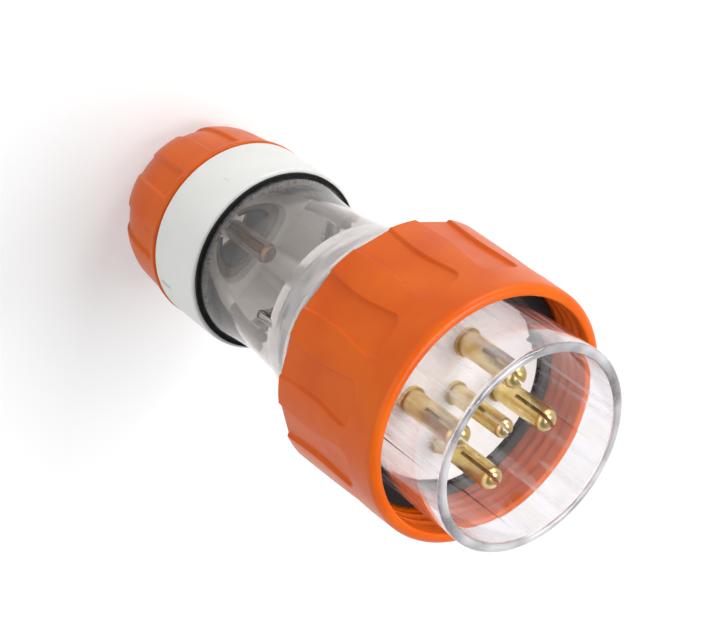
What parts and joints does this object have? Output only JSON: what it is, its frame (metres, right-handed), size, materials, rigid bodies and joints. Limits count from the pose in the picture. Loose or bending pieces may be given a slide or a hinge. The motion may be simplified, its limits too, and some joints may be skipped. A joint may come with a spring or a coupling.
{
  "type": "waterproof plug",
  "caption": "Weatherproof round-pin power plug with a clear shroud and cover, a free-turning locking ring and a screw-down cable gland.",
  "frame": {"origin": "centre of the gland nut's flat rear face, on which the plug stands", "axes": "+Z along the plug's axis towards the pin tips; +X through the first phase pin, +Y through the second"},
  "size_m": [0.0694, 0.0694, 0.1497],
  "materials": {
    "orange_plastic": "moulded, semi-gloss",
    "white_plastic": "moulded, semi-gloss",
    "clear_plastic": "clear moulded",
    "black_rubber": "matt",
    "grey_nylon": "moulded",
    "pin_brass": "turned, bright",
    "terminal_brass": "turned"
  },
  "bodies": {
    "plug_body": {"cable_grommet": "black_rubber", "seat_washer": "grey_nylon", "gland_collar": "white_plastic", "collar_seal": "black_rubber", "collar_screws": "terminal_brass", "rear_cover": "clear_plastic", "cover_seal": "black_rubber", "shroud_body": "clear_plastic", "face_seal": "black_rubber", "pin_base": "white_plastic", "phase_1_pin": "pin_brass", "phase_2_pin": "pin_brass", "phase_3_pin": "pin_brass", "earth_pin": "pin_brass", "neutral_pin": "pin_brass", "phase_1_terminal": "terminal_brass", "phase_2_terminal": "terminal_brass", "phase_3_terminal": "terminal_brass", "earth_terminal": "terminal_brass", "neutral_terminal": "terminal_brass", "terminal_screws": "terminal_brass"},
    "ring": {"locking_ring": "orange_plastic"},
    "washer": {"slip_washer": "grey_nylon"},
    "nut": {"gland_nut": "orange_plastic"}
  },
  "joints": [
    {"name": "locking_ring_spin", "type": "hinge", "parent": "plug_body", "child": "ring", "pos_m": [0, 0, 0.115], "axis": [0, 0, 1], "continuous": true},
    {"name": "gland_travel", "type": "slide", "parent": "plug_body", "child": "washer", "axis": [0, 0, -1], "range_m": [0, 0.006]},
    {"name": "gland_nut_turn", "type": "hinge", "parent": "washer", "child": "nut", "pos_m": [0, 0, 0.0125], "axis": [0, 0, -1], "range_deg": [0, 720]}
  ],
  "couplings": [
    {"joint": "gland_nut_turn", "follows": "gland_travel", "rad_per_m": 2094.4}
  ]
}
